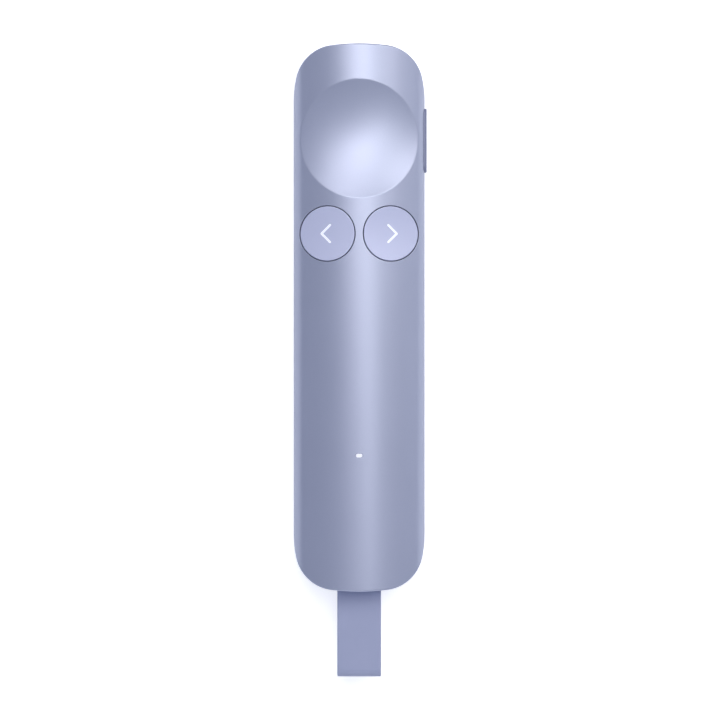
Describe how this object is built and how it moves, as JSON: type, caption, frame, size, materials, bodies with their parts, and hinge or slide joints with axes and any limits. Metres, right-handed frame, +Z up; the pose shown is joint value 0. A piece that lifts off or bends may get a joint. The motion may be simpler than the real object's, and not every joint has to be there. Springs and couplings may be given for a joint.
{
  "type": "wireless presentation clicker",
  "caption": "Slim wireless presentation remote with a round thumb dish, back and next arrow buttons, a side key, a status light and a stowed USB receiver on a rubber strap",
  "frame": {"origin": "middle of the body's flat underside", "axes": "+X towards the side key, +Y from the strap end to the dish end, +Z up through the buttons"},
  "size_m": [0.0321, 0.1514, 0.0155],
  "materials": {
    "shell_satin": "satin lavender metallic paint over the moulding",
    "screw_steel": "blackened socket-head screws",
    "cap_plastic": "fine matte lavender",
    "arrow_white": "milky white",
    "key_plastic": "matte slate lavender",
    "board_green": "green solder mask",
    "chip_black": "moulded black",
    "bright_steel": "drawn nickel-plated steel",
    "ceramic": "fired ceramic",
    "plunger_white": "natural nylon",
    "cell_foil": "laminated pouch foil",
    "lead_red": "red lead insulation",
    "lead_black": "black lead insulation",
    "sleeve_plastic": "dark moulded guide",
    "contact_gold": "gold-plated strips",
    "strap_rubber": "smooth matte lavender silicone"
  },
  "bodies": {
    "body": {"upper_shell": "shell_satin", "lower_shell": "shell_satin", "case_screws": "screw_steel", "light_pipe": "arrow_white", "main_board": "board_green", "radio_chip": "chip_black", "motion_sensor": "chip_black", "power_chip": "chip_black", "crystal": "bright_steel", "chip_antenna": "ceramic", "status_light": "arrow_white", "small_parts": "ceramic", "back_switch": "chip_black", "next_switch": "chip_black", "side_switch": "chip_black", "charge_socket": "bright_steel", "charge_tongue": "chip_black", "battery_cell": "cell_foil", "battery_tape": "plunger_white", "battery_plug": "plunger_white", "battery_lead_red": "lead_red", "battery_lead_black": "lead_black", "bay_sleeve": "sleeve_plastic", "receiver_catch": "bright_steel"},
    "back_button": {"back_button": "cap_plastic", "back_arrow": "arrow_white", "back_plunger": "plunger_white"},
    "next_button": {"next_button": "cap_plastic", "next_arrow": "arrow_white", "next_plunger": "plunger_white"},
    "side_key": {"side_key": "key_plastic", "side_plunger": "plunger_white"},
    "receiver": {"receiver_cap": "cap_plastic", "receiver_plug": "bright_steel", "receiver_tongue": "chip_black", "receiver_contacts": "contact_gold", "receiver_board": "board_green", "receiver_chip": "chip_black", "strap_pin": "bright_steel"},
    "strap": {"strap": "strap_rubber"}
  },
  "joints": [
    {"name": "back_press", "type": "slide", "parent": "body", "child": "back_button", "axis": [0, 0, -1], "range_m": [0, 0.00035], "stiffness_N_per_m": 300, "springref_m": -0.002},
    {"name": "next_press", "type": "slide", "parent": "body", "child": "next_button", "axis": [0, 0, -1], "range_m": [0, 0.00035], "stiffness_N_per_m": 300, "springref_m": -0.002},
    {"name": "side_press", "type": "slide", "parent": "body", "child": "side_key", "axis": [-1, 0, 0], "range_m": [0, 0.0004], "stiffness_N_per_m": 300, "springref_m": -0.002},
    {"name": "receiver_pull", "type": "slide", "parent": "body", "child": "receiver", "axis": [0, -1, 0], "range_m": [0, 0.024]},
    {"name": "strap_swing", "type": "hinge", "parent": "receiver", "child": "strap", "pos_m": [0, -0.0641, 0.0076], "axis": [1, 0, 0], "range_deg": [-15, 15], "stiffness_Nm_per_rad": 0.01}
  ]
}
